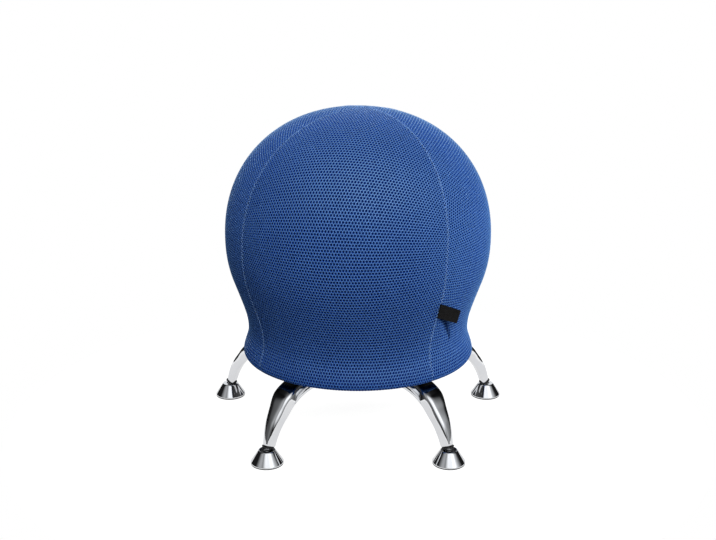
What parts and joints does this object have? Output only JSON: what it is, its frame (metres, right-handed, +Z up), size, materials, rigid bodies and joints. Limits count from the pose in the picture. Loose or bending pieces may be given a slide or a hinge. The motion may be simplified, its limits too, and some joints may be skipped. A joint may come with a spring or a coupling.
{
  "type": "balance ball chair",
  "caption": "Exercise ball seat in a stretched blue mesh cover, held by a hidden pan on arched chrome legs with swivelling cone feet.",
  "frame": {"origin": "on the floor, under the middle of the feet's footprint", "axes": "+Z up, -Y towards the front (the side between the two front legs that the picture shows), +X to the right of a viewer in front"},
  "size_m": [0.5376, 0.5139, 0.5555],
  "materials": {
    "cover_mesh": "open spacer mesh, blue threads over dark navy eyelets",
    "label_ribbon": "black woven ribbon",
    "hem_elastic": "braided elastic",
    "ball_vinyl": "matt vinyl",
    "plug": "moulded",
    "pan_moulding": "fine moulded grain",
    "hub_steel": "black powder coat",
    "leg_chrome": "mirror polished",
    "cone_chrome": "mirror polished",
    "fastener_zinc": "zinc plated",
    "stud_steel": "zinc plated",
    "collar_plastic": "moulded",
    "pad_rubber": "matt"
  },
  "bodies": {
    "chair": {"seat_cover": "cover_mesh", "cover_label": "label_ribbon", "hem_cord": "hem_elastic", "exercise_ball": "ball_vinyl", "seat_pan": "pan_moulding", "hub_plate": "hub_steel", "leg_1": "leg_chrome", "leg_bolt_1_inner": "fastener_zinc", "leg_bolt_1_outer": "fastener_zinc", "foot_stud_1": "stud_steel", "foot_collar_1": "collar_plastic", "pan_screw_1": "fastener_zinc", "leg_2": "leg_chrome", "leg_bolt_2_inner": "fastener_zinc", "leg_bolt_2_outer": "fastener_zinc", "foot_stud_2": "stud_steel", "foot_collar_2": "collar_plastic", "pan_screw_2": "fastener_zinc", "leg_3": "leg_chrome", "leg_bolt_3_inner": "fastener_zinc", "leg_bolt_3_outer": "fastener_zinc", "foot_stud_3": "stud_steel", "foot_collar_3": "collar_plastic", "pan_screw_3": "fastener_zinc", "leg_4": "leg_chrome", "leg_bolt_4_inner": "fastener_zinc", "leg_bolt_4_outer": "fastener_zinc", "foot_stud_4": "stud_steel", "foot_collar_4": "collar_plastic", "pan_screw_4": "fastener_zinc", "leg_5": "leg_chrome", "leg_bolt_5_inner": "fastener_zinc", "leg_bolt_5_outer": "fastener_zinc", "foot_stud_5": "stud_steel", "foot_collar_5": "collar_plastic", "pan_screw_5": "fastener_zinc"},
    "valve_plug": {"valve_plug": "plug"},
    "foot_1": {"foot_cone_1": "cone_chrome", "foot_pad_1": "pad_rubber"},
    "foot_2": {"foot_cone_2": "cone_chrome", "foot_pad_2": "pad_rubber"},
    "foot_3": {"foot_cone_3": "cone_chrome", "foot_pad_3": "pad_rubber"},
    "foot_4": {"foot_cone_4": "cone_chrome", "foot_pad_4": "pad_rubber"},
    "foot_5": {"foot_cone_5": "cone_chrome", "foot_pad_5": "pad_rubber"}
  },
  "joints": [
    {"name": "valve_plug_pull", "type": "slide", "parent": "chair", "child": "valve_plug", "axis": [0, 0, -1], "range_m": [0, 0.02]},
    {"name": "foot_1_swivel", "type": "hinge", "parent": "chair", "child": "foot_1", "pos_m": [0.1493, -0.22975, 0.0171], "axis": [0, 0, 1], "continuous": true},
    {"name": "foot_2_swivel", "type": "hinge", "parent": "chair", "child": "foot_2", "pos_m": [0.24157, 0.05423, 0.0171], "axis": [0, 0, 1], "continuous": true},
    {"name": "foot_3_swivel", "type": "hinge", "parent": "chair", "child": "foot_3", "pos_m": [0, 0.22975, 0.0171], "axis": [0, 0, 1], "continuous": true},
    {"name": "foot_4_swivel", "type": "hinge", "parent": "chair", "child": "foot_4", "pos_m": [-0.24157, 0.05423, 0.0171], "axis": [0, 0, 1], "continuous": true},
    {"name": "foot_5_swivel", "type": "hinge", "parent": "chair", "child": "foot_5", "pos_m": [-0.1493, -0.22975, 0.0171], "axis": [0, 0, 1], "continuous": true}
  ]
}
